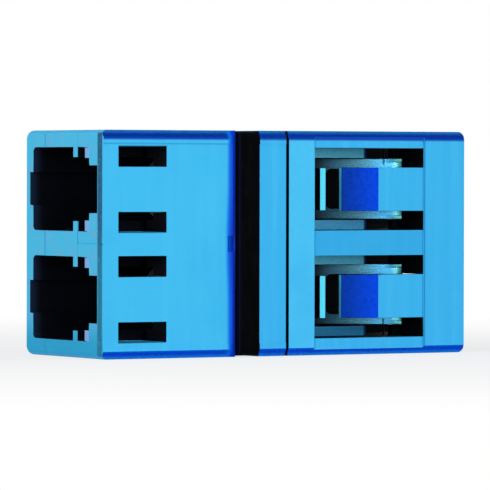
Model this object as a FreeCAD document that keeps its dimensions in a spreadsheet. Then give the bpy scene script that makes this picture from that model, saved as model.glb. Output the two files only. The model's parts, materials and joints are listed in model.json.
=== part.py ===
"""Duplex LC fibre adapter with a sprung inner shutter in each rear port.

Row frame, in millimetres: X runs along the plugs, from the plain front ports (-X) to the
shuttered rear ports (+X); the latch face looks to -Y; the ports are stacked along +Z. The
origin is under the middle of the adapter, in the plane that it stands on. Depths are counted
from the latch face, port heights from the centre of their own port.
"""
import FreeCAD, Part
import math
import os
import Sketcher

DRIVING_SIZES = {
    # outer body
    "body_length": 24.26,
    "body_depth": 9.3,
    "body_height": 13.0,
    "port_pitch": 6.25,
    "bevel_height": 0.45,
    "bevel_depth": 0.2,
    "back_corner_radius": 0.45,
    "end_corner_radius": 0.32,
    "parting_gap": 0.08,
    "parting_depth": 0.22,
    # plug passage, the same in all four ports
    "plug_roof": 3.58,
    "plug_floor": 8.45,
    "plug_half_width": 2.395,
    "rail_roof": 3.03,
    "rail_half_gap": 1.82,
    "ear_roof": 2.4,
    "ear_roof_mouth": 1.66,
    "ear_lead": 0.12,
    "ear_half_width": 2.395,
    "ear_half_gap": 1.77,
    "thumb_roof": 0.72,
    "thumb_half_width": 1.35,
    "notch_floor": 8.83,
    "notch_half_width": 0.95,
    "notch_length": 6.0,
    "channel_length": 7.48,
    # front half
    "front_catch": 1.02,
    "front_window_length": 3.13,
    "front_window_low": 1.28,
    "front_window_high": 2.47,
    "panel_margin": 0.78,
    "panel_recess": 0.04,
    "groove_start": 8.9,
    "groove_width": 1.38,
    "groove_depth_latch": 0.66,
    "groove_depth_side": 0.34,
    "groove_corner_radius": 0.35,
    "groove_lead_radius": 0.62,
    "hook_length": 2.62,
    "hook_head_length": 0.36,
    "hook_head_top": 0.1,
    "hook_roof": 0.78,
    "hook_thickness": 0.36,
    "hook_half_width": 1.22,
    "witness_width": 0.06,
    "witness_depth": 0.04,
    "witness_floor": 6.98,
    "witness_roof": 3.01,
    "gate_reach": 0.8,
    "gate_depth": 0.2,
    "gate_height": 0.9,
    # rear half
    "rear_catch": 2.81,
    "rear_window_half_width": 2.395,
    "face_recess": 0.05,
    "tongue_half_width": 1.265,
    "tongue_length": 5.15,
    "tongue_flat": 3.12,
    "tongue_tip_depth": 0.9,
    "tongue_tip_thickness": 0.27,
    "rail_end": 4.91,
    "rail_restart": 3.08,
    # shutter and its hinge
    "hinge_inset": 1.96,
    "hinge_level": 3.3,
    "closed_angle": 29.6,
    "leaf_length": 6.5,
    "leaf_thickness": 0.16,
    "leaf_half_width": 1.78,
    "leaf_slot_half_width": 1.18,
    "leaf_slot_end": 4.8,
    "leaf_start": 0.25,
    "leaf_corner_radius": 0.6,
    "slot_corner_radius": 0.35,
    "lip_reach": 0.2,
    "lip_rise": 0.35,
    "cheek_thickness": 0.2,
    "cheek_radius": 0.3,
    "cheek_length": 1.3,
    "pin_radius": 0.14,
    "pin_clearance": 0.03,
    "pin_head_radius": 0.22,
    "pin_head_thickness": 0.1,
    "pin_reach_inner": 2.72,
    "pin_reach_outer": 3.0,
    "spring_pocket_radius": 0.52,
    "spring_pocket_floor": 3.06,
    "spring_wire_radius": 0.06,
    "spring_radius": 0.36,
    "spring_pitch": 0.16,
    "spring_full_turns": 2,
    "spring_start": 2.58,
    "spring_flats": 8,
    "spring_arm": 1.35,
    "spring_foot_end": 1.45,
    "spring_bend_radius": 0.16,
    "spring_tang": 0.5,
    "tang_recess": 0.85,
    "leg_recess": 1.5,
    "leg_recess_floor": 2.66,
    # sleeves and their holders
    "plate_thickness": 0.9,
    "plate_roof": 1.2,
    "plate_floor": 8.7,
    "plate_margin": 0.7,
    "plate_corner_radius": 0.5,
    "plate_clearance": 0.03,
    "barrel_reach": 4.33,
    "barrel_radius": 1.7,
    "barrel_bore_radius": 0.86,
    "barrel_lip": 0.83,
    "barrel_lip_radius": 0.78,
    "barrel_lead_in": 0.25,
    "sleeve_length": 6.8,
    "sleeve_inner_radius": 0.625,
    "sleeve_outer_radius": 0.81,
    "sleeve_slit": 0.2,
    # panel ring
    "ring_recess": 0.06,
}

doc = FreeCAD.newDocument("LcAdapter")
sheet = doc.addObject("Spreadsheet::Sheet", "Sizes")
for row, (name, value) in enumerate(DRIVING_SIZES.items(), start=1):
    sheet.set(f"A{row}", name)
    sheet.set(f"B{row}", str(value))
    sheet.setAlias(f"B{row}", name)
doc.recompute()

# Places that follow from the sheet, as expressions for the sketches.
FACE = "(Sizes.body_depth / 2)"
END = "(Sizes.body_length / 2)"
LOWER_PORT = "((Sizes.body_height - Sizes.port_pitch) / 2)"
AXIS_LEVEL = "((Sizes.plug_roof + Sizes.plug_floor) / 2)"


def size(name):
    """A driving size as a number, for shapes that are made without a sketch."""
    return float(sheet.get(name))


def depth(expression):
    """The Y place of a depth under the latch face."""
    return f"{expression} - {FACE}"


def in_port(expression):
    """The Z place of a height over the lower port's centre."""
    return f"{LOWER_PORT} + {expression}"


def new_body(name):
    body = doc.addObject("PartDesign::Body", name)
    body.Label = name
    return body


def new_sketch(body, name, role, offset):
    """A sketch on one of the body's own origin planes, moved along its normal."""
    plane = next(f for f in body.Origin.OriginFeatures if f.Role == role)
    sketch = body.newObject("Sketcher::SketchObject", name)
    sketch.AttachmentSupport = [(plane, "")]
    sketch.MapMode = "FlatFace"
    sketch.setExpression("AttachmentOffset.Base.z", offset)
    return sketch


def bind(sketch, constraint, expression):
    index = sketch.addConstraint(constraint)
    sketch.setExpression(f"Constraints[{index}]", expression)


def add_polygon(sketch, corners):
    """A closed outline of straight lines whose corners are pinned to pairs of expressions."""
    places = [[float(sketch.evalExpression(value)) for value in corner] for corner in corners]
    points = [FreeCAD.Vector(x, y, 0) for x, y in places]
    first = sketch.GeometryCount
    count = len(points)
    for i in range(count):
        sketch.addGeometry(Part.LineSegment(points[i], points[(i + 1) % count]))
    for i in range(count):
        line = first + i
        sketch.addConstraint(Sketcher.Constraint("Coincident", line, 2, first + (i + 1) % count, 1))
        bind(sketch, Sketcher.Constraint("DistanceX", -1, 1, line, 1, places[i][0]), corners[i][0])
        bind(sketch, Sketcher.Constraint("DistanceY", -1, 1, line, 1, places[i][1]), corners[i][1])


def add_rectangle(sketch, left, right, low, high):
    add_polygon(sketch, [(left, low), (right, low), (right, high), (left, high)])


def add_circle(sketch, x, y, radius):
    place = FreeCAD.Vector(sketch.evalExpression(x), sketch.evalExpression(y), 0)
    circle = sketch.addGeometry(Part.Circle(place, FreeCAD.Vector(0, 0, 1),
                                            float(sketch.evalExpression(radius))))
    bind(sketch, Sketcher.Constraint("DistanceX", -1, 1, circle, 3, place.x), x)
    bind(sketch, Sketcher.Constraint("DistanceY", -1, 1, circle, 3, place.y), y)
    bind(sketch, Sketcher.Constraint("Radius", circle, float(sketch.evalExpression(radius))), radius)


def extrude(kind, sketch, length, against_normal=False, both_ways=False):
    """A pad or pocket of a sketch, which has to change its body's volume the right way."""
    body = sketch.getParentGeoFeatureGroup()
    before = body.Shape.Volume if body.Tip else 0
    feature = body.newObject(f"PartDesign::{kind}", sketch.Name + kind)
    feature.Profile = sketch
    feature.setExpression("Length", length)
    feature.Reversed = against_normal
    feature.SideType = "Symmetric" if both_ways else "One side"
    doc.recompute()
    grew = body.Shape.Volume - before
    if (kind == "Pad") != (grew > 0) or abs(grew) < 1e-6:
        raise RuntimeError(f"{feature.Name} changed the volume by {grew}")
    return feature


def edges_at(shape, test):
    """Names of the straight and curved edges whose two box corners both pass a test."""
    names = []
    for i, edge in enumerate(shape.Edges, start=1):
        box = edge.BoundBox
        low = FreeCAD.Vector(box.XMin, box.YMin, box.ZMin)
        high = FreeCAD.Vector(box.XMax, box.YMax, box.ZMax)
        if test(low, high):
            names.append(f"Edge{i}")
    return names


def round_edges(body, name, radius, test):
    base = body.Tip
    fillet = body.newObject("PartDesign::Fillet", name)
    fillet.Base = (base, edges_at(base.Shape, test))
    fillet.setExpression("Radius", radius)
    doc.recompute()
    return fillet


def mirror_to_upper_port(body, features):
    """Repeat the lower port's features on the far side of the mid height."""
    middle = body.newObject("PartDesign::Plane", body.Name + "Middle")
    plane = next(f for f in body.Origin.OriginFeatures if f.Role == "XY_Plane")
    middle.AttachmentSupport = [(plane, "")]
    middle.MapMode = "FlatFace"
    middle.setExpression("AttachmentOffset.Base.z", "Sizes.body_height / 2")
    doc.recompute()
    before = body.Shape.Volume
    mirrored = body.newObject("PartDesign::Mirrored", body.Name + "UpperPort")
    mirrored.Originals = features
    mirrored.MirrorPlane = (middle, [""])
    body.Tip = mirrored
    doc.recompute()
    if abs(body.Shape.Volume - before) < 1:
        raise RuntimeError(f"{mirrored.Name} repeated nothing")


# ---------------------------------------------------------------------------------------------
# Housing halves: what they share


def section_blank(body, start, length):
    """The outer block: bevelled along the latch face, square at the back until it is rounded."""
    sketch = new_sketch(body, body.Name + "Section", "YZ_Plane", start)
    near, far, top = f"-{FACE}", FACE, "Sizes.body_height"
    add_polygon(sketch, [
        (near, "Sizes.bevel_height"),
        (f"Sizes.bevel_depth - {FACE}", "0"),
        (far, "0"),
        (far, top),
        (f"Sizes.bevel_depth - {FACE}", top),
        (near, f"{top} - Sizes.bevel_height"),
    ])
    extrude("Pad", sketch, length)
    back = size("body_depth") / 2
    round_edges(body, body.Name + "BackCorners", "Sizes.back_corner_radius",
                lambda low, high: low.y > back - 0.01 and high.x - low.x > 1)


def passage(body, name, mouth, inward, roof, floor, half_width, length):
    """One straight channel of the lower port, from the port's mouth inwards along X."""
    sketch = new_sketch(body, body.Name + name, "YZ_Plane", mouth)
    add_rectangle(sketch, depth(roof), depth(floor), in_port(f"-{half_width}"), in_port(half_width))
    return extrude("Pocket", sketch, length, against_normal=inward > 0)


def plug_passage(body, mouth, inward, catch):
    """The cross-section that a plug slides through, its latch channel and the ears' lead-in."""
    reach = f"{catch} + Sizes.channel_length"
    lead = new_sketch(body, body.Name + "EarLead", "XY_Plane", LOWER_PORT)
    add_polygon(lead, [
        (mouth, depth("Sizes.ear_roof_mouth")),
        (f"{mouth} + {inward} * Sizes.ear_lead", depth("Sizes.ear_roof")),
        (mouth, depth("Sizes.ear_roof")),
    ])
    return [
        passage(body, "Plug", mouth, inward, "Sizes.plug_roof", "Sizes.plug_floor",
                "Sizes.plug_half_width", END),
        passage(body, "RailGap", mouth, inward, "Sizes.rail_roof", "Sizes.plug_roof",
                "Sizes.rail_half_gap", END),
        passage(body, "Ears", mouth, inward, "Sizes.ear_roof", "Sizes.rail_roof",
                "Sizes.ear_half_width", reach),
        extrude("Pocket", lead, "2 * Sizes.ear_half_width", both_ways=True),
        passage(body, "Notch", mouth, inward, "Sizes.plug_floor", "Sizes.notch_floor",
                "Sizes.notch_half_width", "Sizes.notch_length"),
    ]


def parting_step(body, start, along):
    """The shallow step round the joint face that leaves the dark line between the halves."""
    sketch = new_sketch(body, body.Name + "Parting", "YZ_Plane", start)
    add_rectangle(sketch, f"-{FACE} - 1", f"{FACE} + 1", "-1", "Sizes.body_height + 1")
    step = "Sizes.parting_depth"
    add_rectangle(sketch, f"{step} - {FACE}", f"{FACE} - {step}", step,
                  f"Sizes.body_height - {step}")
    extrude("Pocket", sketch, "Sizes.parting_gap", against_normal=along > 0)


def round_open_end(body, outward):
    """Soften the four outer edges of the end face where the plugs enter."""
    end, top = outward * size("body_length") / 2, size("body_height")
    round_edges(body, body.Name + "EndEdges", "Sizes.end_corner_radius",
                lambda low, high: abs(low.x - end) < 0.01 and abs(high.x - end) < 0.01
                and high.y - low.y > 5 and (high.z < 0.01 or low.z > top - 0.01))


# ---------------------------------------------------------------------------------------------
# Front half: plain ports, small latch windows, ring groove, seat for the sleeve holders


def front_windows(body):
    """Two slots over each port that the ears of the latch spring up into."""
    sketch = new_sketch(body, "FrontWindows", "XZ_Plane", FACE)
    left = f"Sizes.front_catch - {END}"
    right = f"{left} + Sizes.front_window_length"
    low, high = "Sizes.front_window_low", "Sizes.front_window_high"
    add_rectangle(sketch, left, right, in_port(low), in_port(high))
    add_rectangle(sketch, left, right, in_port(f"-{high}"), in_port(f"-{low}"))
    return extrude("Pocket", sketch, "Sizes.rail_roof")


def ring_groove(body):
    """A groove right round the body for the panel ring, deeper on the latch face."""
    sketch = new_sketch(body, "RingGroove", "YZ_Plane", f"Sizes.groove_start - {END}")
    add_rectangle(sketch, f"-{FACE} - 1", f"{FACE} + 1", "-1", "Sizes.body_height + 1")
    side = "Sizes.groove_depth_side"
    add_rectangle(sketch, f"Sizes.groove_depth_latch - {FACE}", f"{FACE} - {side}", side,
                  f"Sizes.body_height - {side}")
    extrude("Pocket", sketch, "Sizes.groove_width", against_normal=True)


def groove_lead(body):
    """The latch face rolls over into the groove instead of ending in a sharp edge."""
    edge_x = size("groove_start") - size("body_length") / 2
    near = -size("body_depth") / 2
    round_edges(body, "GrooveLead", "Sizes.groove_lead_radius",
                lambda low, high: abs(low.x - edge_x) < 0.01 and abs(high.x - edge_x) < 0.01
                and high.y < near + 0.01 and high.z - low.z > 5)


def holder_seat(body):
    """The pocket that takes both sleeve holder plates, open at the joint face."""
    sketch = new_sketch(body, "HolderSeat", "YZ_Plane", "-2 * Sizes.plate_thickness")
    margin = "Sizes.plate_margin"
    add_rectangle(sketch, depth("Sizes.plate_roof"), depth("Sizes.plate_floor"), margin,
                  f"Sizes.body_height - {margin}")
    extrude("Pocket", sketch, "2 * Sizes.plate_thickness", against_normal=True)


def snap_hook(body):
    """A finger that reaches under the rear half's collar and shows its head in the window."""
    sketch = new_sketch(body, "SnapHook", "XY_Plane", LOWER_PORT)
    tip = "Sizes.hook_length"
    neck = f"{tip} - Sizes.hook_head_length"
    under = "Sizes.hook_roof + Sizes.hook_thickness"
    add_polygon(sketch, [
        ("0", depth("Sizes.hook_roof")),
        (neck, depth("Sizes.hook_roof")),
        (neck, depth("Sizes.hook_head_top")),
        (tip, depth("Sizes.hook_head_top")),
        (tip, depth(under)),
        ("0", depth(under)),
    ])
    return extrude("Pad", sketch, "2 * Sizes.hook_half_width", both_ways=True)


def marking_panel(body):
    """The very shallow panel that the latch face keeps inside its bevelled margins."""
    sketch = new_sketch(body, "MarkingPanel", "XZ_Plane", FACE)
    margin = "Sizes.panel_margin"
    add_rectangle(sketch, f"-{END} - 1", f"-1 * Sizes.parting_gap", margin,
                  f"Sizes.body_height - {margin}")
    extrude("Pocket", sketch, "Sizes.panel_recess")


def witness_lines(body):
    """Fine lines on the end face, where the inserts of the mould met."""
    sketch = new_sketch(body, "WitnessLines", "YZ_Plane", f"-{END}")
    width, top = "Sizes.witness_width", "Sizes.body_height"
    floor, roof = depth("Sizes.witness_floor"), depth("Sizes.witness_roof")
    middle, edge = f"{top} / 2", f"-{FACE} - 1"
    add_rectangle(sketch, floor, f"{floor} + {width}", "-1", f"{top} + 1")
    add_polygon(sketch, [(edge, middle), (f"{roof} + {width}", middle),
                         (f"{roof} + {width}", f"{top} / 2 + Sizes.port_pitch / 4"),
                         (roof, f"{top} / 2 + Sizes.port_pitch / 4"),
                         (roof, f"{middle} + {width}"), (edge, f"{middle} + {width}")])
    extrude("Pocket", sketch, "Sizes.witness_depth", against_normal=True)


def gate_nick(body):
    """The scar where the gate was cut from the edge of the ring groove."""
    sketch = new_sketch(body, "GateNick", "XY_Plane", "Sizes.body_height / 2")
    edge = f"Sizes.groove_start - {END}"
    start = f"{edge} - Sizes.gate_reach"
    add_polygon(sketch, [(start, depth("0")), (edge, depth("-0.1")),
                         (f"{edge} - Sizes.gate_depth", depth("Sizes.gate_depth")),
                         (f"{start} + Sizes.gate_depth", depth("Sizes.gate_depth / 2"))])
    extrude("Pocket", sketch, "Sizes.gate_height", both_ways=True)


def front_housing():
    body = new_body("front_housing")
    section_blank(body, f"-{END}", END)
    round_open_end(body, -1)
    ring_groove(body)
    groove_lead(body)
    reach = "Sizes.front_catch + Sizes.channel_length"
    features = plug_passage(body, f"-{END}", 1, "Sizes.front_catch")
    features.append(passage(body, "EarGap", f"-{END}", 1, "Sizes.ear_roof_mouth",
                            "Sizes.ear_roof", "Sizes.ear_half_gap", reach))
    features.append(passage(body, "Thumb", f"-{END}", 1, "Sizes.thumb_roof",
                            "Sizes.ear_roof_mouth", "Sizes.thumb_half_width", reach))
    features.append(front_windows(body))
    features.append(snap_hook(body))
    mirror_to_upper_port(body, features)
    holder_seat(body)
    marking_panel(body)
    witness_lines(body)
    gate_nick(body)
    parting_step(body, "0", -1)
    return body


# ---------------------------------------------------------------------------------------------
# Rear half: one large window over each port, with a tongue left standing in it


def rear_window(body):
    sketch = new_sketch(body, "RearWindow", "XZ_Plane", FACE)
    right = f"{END} - Sizes.rear_catch"
    half = "Sizes.rear_window_half_width"
    add_rectangle(sketch, f"{right} - Sizes.channel_length", right, in_port(f"-{half}"),
                  in_port(half))
    return extrude("Pocket", sketch, "Sizes.rail_roof")


def tongue(body):
    """The roof of the thumb channel, carried on into the window and bent down to its tip."""
    sketch = new_sketch(body, "Tongue", "XY_Plane", LOWER_PORT)
    root = f"{END} - Sizes.rear_catch"
    bend = f"{root} - Sizes.tongue_flat"
    tip = f"{root} - Sizes.tongue_length"
    add_polygon(sketch, [
        (root, depth("Sizes.face_recess")),
        (bend, depth("Sizes.face_recess")),
        (tip, depth("Sizes.tongue_tip_depth")),
        (tip, depth("Sizes.tongue_tip_depth + Sizes.tongue_tip_thickness")),
        (bend, depth("Sizes.thumb_roof")),
        (root, depth("Sizes.thumb_roof")),
    ])
    return extrude("Pad", sketch, "2 * Sizes.tongue_half_width", both_ways=True)


def hinge_relief(body):
    """The rails stop short here, so that the ears can dip and the leaf's arms have room."""
    sketch = new_sketch(body, "HingeRelief", "XZ_Plane", f"{FACE} - Sizes.rail_roof")
    half = "Sizes.ear_half_width"
    add_rectangle(sketch, f"{END} - Sizes.rail_end", f"{END} - Sizes.rail_restart",
                  in_port(f"-{half}"), in_port(half))
    return extrude("Pocket", sketch, "Sizes.plug_roof - Sizes.rail_roof")


def hinge_seats(body):
    """Bearing holes through both rails, and a place for the return spring in the outer wall.

    The coil sits in a round pocket. Beside it are shallow recesses, one where its leg swings
    behind the rail and one where its tang rests.
    """
    x, y = f"{END} - Sizes.hinge_inset", depth("Sizes.hinge_level")
    mouth = f"{LOWER_PORT} - Sizes.ear_half_width"
    bearings = new_sketch(body, "HingeBearings", "XY_Plane", LOWER_PORT)
    add_circle(bearings, x, y, "Sizes.pin_radius + Sizes.pin_clearance")
    features = [extrude("Pocket", bearings, "2 * Sizes.pin_reach_inner + 0.06", both_ways=True)]
    pocket = new_sketch(body, "SpringPocket", "XY_Plane", mouth)
    add_circle(pocket, x, y, "Sizes.spring_pocket_radius")
    pocket_depth = "Sizes.spring_pocket_floor - Sizes.ear_half_width"
    features.append(extrude("Pocket", pocket, pocket_depth))
    tang = new_sketch(body, "TangRecess", "XY_Plane", mouth)
    reach, radius = "Sizes.tang_recess", "Sizes.spring_pocket_radius"
    add_polygon(tang, [(x, f"{y} - {radius}"), (f"{x} + {reach}", f"{y} - {radius}"),
                       (f"{x} + {reach}", f"{y} + 0.4 * {reach}"), (x, f"{y} + {radius}")])
    features.append(extrude("Pocket", tang, pocket_depth))
    leg = new_sketch(body, "LegRecess", "XY_Plane", mouth)
    reach = "Sizes.leg_recess"
    add_polygon(leg, [(x, f"{y} - {radius}"), (f"{x} - 0.95 * {reach}", f"{y} - 0.44 * {reach}"),
                      (f"{x} - {reach}", y), (f"{x} - 0.93 * {reach}", f"{y} + 0.48 * {reach}"),
                      (f"{x} - 0.77 * {reach}", f"{y} + 0.48 * {reach}"), (x, f"{y} + 0.1")])
    features.append(extrude("Pocket", leg, "Sizes.leg_recess_floor - Sizes.ear_half_width"))
    return features


def window_band(body):
    """A hair-deep recess across the face, as long as the windows."""
    sketch = new_sketch(body, "WindowBand", "XZ_Plane", FACE)
    right = f"{END} - Sizes.rear_catch"
    add_rectangle(sketch, f"{right} - Sizes.channel_length", right, "-1",
                  "Sizes.body_height + 1")
    extrude("Pocket", sketch, "Sizes.face_recess")


def rear_housing():
    body = new_body("rear_housing")
    section_blank(body, "0", END)
    round_open_end(body, 1)
    features = plug_passage(body, END, -1, "Sizes.rear_catch")
    features.append(passage(body, "Thumb", END, -1, "Sizes.thumb_roof", "Sizes.ear_roof",
                            "Sizes.thumb_half_width", END))
    features.append(rear_window(body))
    features.append(hinge_relief(body))
    features.append(tongue(body))
    features += hinge_seats(body)
    mirror_to_upper_port(body, features)
    window_band(body)
    parting_step(body, "0", 1)
    return body


# ---------------------------------------------------------------------------------------------
# Panel ring


def panel_ring():
    """A black elastomer band that fills the groove to just under the faces round it."""
    body = new_body("seal_ring")
    sketch = new_sketch(body, "RingSection", "YZ_Plane", f"Sizes.groove_start - {END} + 0.02")
    latch, side, recess = "Sizes.groove_depth_latch", "Sizes.groove_depth_side", "Sizes.ring_recess"
    top = "Sizes.body_height"
    add_rectangle(sketch, f"{recess} - {FACE}", f"{FACE} - {recess}", recess, f"{top} - {recess}")
    add_rectangle(sketch, f"{latch} - {FACE}", f"{FACE} - {side}", side, f"{top} - {side}")
    extrude("Pad", sketch, "Sizes.groove_width - 0.04")
    outer_y = size("body_depth") / 2 - size("ring_recess")
    round_edges(body, "RingCorners", "Sizes.groove_corner_radius",
                lambda low, high: high.x - low.x > 1 and abs(abs(low.y) - outer_y) < 0.01)
    return body


# ---------------------------------------------------------------------------------------------
# Alignment: split sleeves floating between the lips of two bolted-up holder plates


def sleeve_holder(name, outward):
    """A plate with two barrels. The datum, where the fibres meet, is the plates' joint."""
    body = new_body(name)
    datum = "-1 * Sizes.plate_thickness"
    gap = "Sizes.plate_clearance"
    backwards = outward < 0

    def sketch_at_datum(feature):
        return new_sketch(body, name + feature, "YZ_Plane", datum)

    def both_axes(sketch, radius):
        for height in (LOWER_PORT, f"{LOWER_PORT} + Sizes.port_pitch"):
            add_circle(sketch, depth(AXIS_LEVEL), height, radius)
        return sketch

    plate = sketch_at_datum("Plate")
    add_rectangle(plate, depth(f"Sizes.plate_roof + {gap}"), depth(f"Sizes.plate_floor - {gap}"),
                  f"Sizes.plate_margin + {gap}",
                  f"Sizes.body_height - Sizes.plate_margin - {gap}")
    extrude("Pad", plate, "Sizes.plate_thickness", against_normal=backwards)
    round_edges(body, name + "Corners", "Sizes.plate_corner_radius",
                lambda low, high: high.x - low.x > 0.5)
    barrels = both_axes(sketch_at_datum("Barrels"), "Sizes.barrel_radius")
    extrude("Pad", barrels, "Sizes.barrel_reach", against_normal=backwards)
    bores = both_axes(sketch_at_datum("Bores"), "Sizes.barrel_bore_radius")
    extrude("Pocket", bores, "Sizes.barrel_reach - Sizes.barrel_lip", against_normal=not backwards)
    lips = both_axes(sketch_at_datum("Lips"), "Sizes.barrel_lip_radius")
    extrude("Pocket", lips, "Sizes.barrel_reach + 1", against_normal=not backwards)
    mouth = -size("plate_thickness") + outward * size("barrel_reach")
    lip = size("barrel_lip_radius")
    base = body.Tip
    lead_in = body.newObject("PartDesign::Chamfer", name + "LeadIn")
    lead_in.Base = (base, edges_at(base.Shape, lambda low, high: abs(low.x - mouth) < 0.01
                                   and abs(high.x - mouth) < 0.01
                                   and abs(high.y - low.y - 2 * lip) < 0.01))
    lead_in.setExpression("Size", "Sizes.barrel_lead_in")
    doc.recompute()
    return body


def split_sleeve(name, height):
    """A ceramic tube with one slit along it, which grips a ferrule from each end."""
    body = new_body(name)
    start = "-1 * Sizes.plate_thickness - Sizes.sleeve_length / 2"
    tube = new_sketch(body, name + "Tube", "YZ_Plane", start)
    for radius in ("Sizes.sleeve_outer_radius", "Sizes.sleeve_inner_radius"):
        add_circle(tube, depth(AXIS_LEVEL), height, radius)
    extrude("Pad", tube, "Sizes.sleeve_length")
    slit = new_sketch(body, name + "Slit", "YZ_Plane", start)
    add_rectangle(slit, f"{depth(AXIS_LEVEL)} - Sizes.sleeve_outer_radius - 0.1",
                  depth(AXIS_LEVEL), f"{height} - Sizes.sleeve_slit / 2",
                  f"{height} + Sizes.sleeve_slit / 2")
    extrude("Pocket", slit, "Sizes.sleeve_length", against_normal=True)
    return body


# ---------------------------------------------------------------------------------------------
# Shutters: modelled flat, with the hinge axis on their own Z axis, then turned to closed


def hinge_placement(height):
    """Where a shutter's own frame sits in the adapter when the shutter is closed."""
    x = size("body_length") / 2 - size("hinge_inset")
    y = size("hinge_level") - size("body_depth") / 2
    turn = FreeCAD.Rotation(FreeCAD.Vector(0, 0, 1), -size("closed_angle"))
    return FreeCAD.Placement(FreeCAD.Vector(x, y, height), turn)


def shutter_leaf(name, height):
    """A stamped steel leaf: two arms that straddle the plug's latch, and a web across the beam."""
    body = new_body(name)
    leaf = new_sketch(body, name + "Leaf", "XZ_Plane", "0")
    tip, start, slot_end = ("-1 * Sizes.leaf_length", "-1 * Sizes.leaf_start",
                            "-1 * Sizes.leaf_slot_end")
    half, slot = "Sizes.leaf_half_width", "Sizes.leaf_slot_half_width"
    add_polygon(leaf, [(start, f"-{half}"), (tip, f"-{half}"), (tip, half), (start, half),
                       (start, slot), (slot_end, slot), (slot_end, f"-{slot}"),
                       (start, f"-{slot}")])
    extrude("Pad", leaf, "Sizes.leaf_thickness", both_ways=True)
    for feature, name_end, x in (("slot", "SlotCorners", -size("leaf_slot_end")),
                                 ("leaf", "TipCorners", -size("leaf_length"))):
        round_edges(body, name + name_end, f"Sizes.{feature}_corner_radius",
                    lambda low, high, x=x: abs(low.x - x) < 0.01 and abs(high.x - x) < 0.01
                    and high.z - low.z < 0.01)
    lip = new_sketch(body, name + "Lip", "XY_Plane", "0")
    thick = "Sizes.leaf_thickness"
    add_polygon(lip, [(f"{tip} + {thick}", f"-{thick} / 2"), (tip, f"{thick} / 2"),
                      (f"{tip} - Sizes.lip_reach", f"{thick} - Sizes.lip_rise"),
                      (f"{tip} - Sizes.lip_reach", "-1 * Sizes.lip_rise")])
    extrude("Pad", lip, f"2 * ({half} - Sizes.leaf_corner_radius)", both_ways=True)
    inside = f"{half} - Sizes.cheek_thickness"
    gusset = new_sketch(body, name + "Gusset", "XY_Plane", inside)
    radius, reach = "Sizes.cheek_radius", "-1 * Sizes.cheek_length"
    add_polygon(gusset, [("0", f"-{radius}"), ("0", radius), (reach, f"{thick} / 2"),
                         (reach, f"-{thick} / 2")])
    eye = new_sketch(body, name + "Eye", "XY_Plane", inside)
    add_circle(eye, "0", "0", radius)
    cheek = [extrude("Pad", gusset, "Sizes.cheek_thickness"),
             extrude("Pad", eye, "Sizes.cheek_thickness")]
    mirrored = body.newObject("PartDesign::Mirrored", name + "OtherCheek")
    mirrored.Originals = cheek
    plane = next(f for f in body.Origin.OriginFeatures if f.Role == "XY_Plane")
    mirrored.MirrorPlane = (plane, [""])
    body.Tip = mirrored
    doc.recompute()
    hole = new_sketch(body, name + "PinHole", "XY_Plane", "0")
    add_circle(hole, "0", "0", "Sizes.pin_radius")
    extrude("Pocket", hole, f"2 * {half} + 1", both_ways=True)
    body.Placement = hinge_placement(height)
    return body


def hinge_pin(name, height, side, reach):
    """A stub pin riveted through one cheek, whose free end turns in the side wall."""
    inside = "Sizes.leaf_half_width - Sizes.cheek_thickness"
    shank = doc.addObject("Part::Cylinder", name + "Shank")
    shank.setExpression("Radius", "Sizes.pin_radius")
    shank.setExpression("Height", f"{reach} - ({inside})")
    shank.setExpression("Placement.Base.z", inside)
    head = doc.addObject("Part::Cylinder", name + "Head")
    head.setExpression("Radius", "Sizes.pin_head_radius")
    head.setExpression("Height", "Sizes.pin_head_thickness")
    head.setExpression("Placement.Base.z", f"{inside} - Sizes.pin_head_thickness")
    pin = doc.addObject("Part::Fuse", name)
    pin.Label = name
    pin.Base, pin.Tool = shank, head
    pin.Refine = True
    pin.Placement = hinge_placement(height)
    if side < 0:
        pin.Placement.Rotation *= FreeCAD.Rotation(FreeCAD.Vector(1, 0, 0), 180)
    doc.recompute()
    return pin


def tangent_arc(before, corner, after, radius):
    """The arc of a radius that joins two straight runs near their corner, as three points."""
    into, out = (corner - before).normalize(), (after - corner).normalize()
    turn = into.getAngle(out)
    inset = radius * math.tan(turn / 2)
    crest = (out - into).normalize() * (radius / math.cos(turn / 2) - radius)
    return corner - into * inset, corner + crest, corner + out * inset


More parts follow.
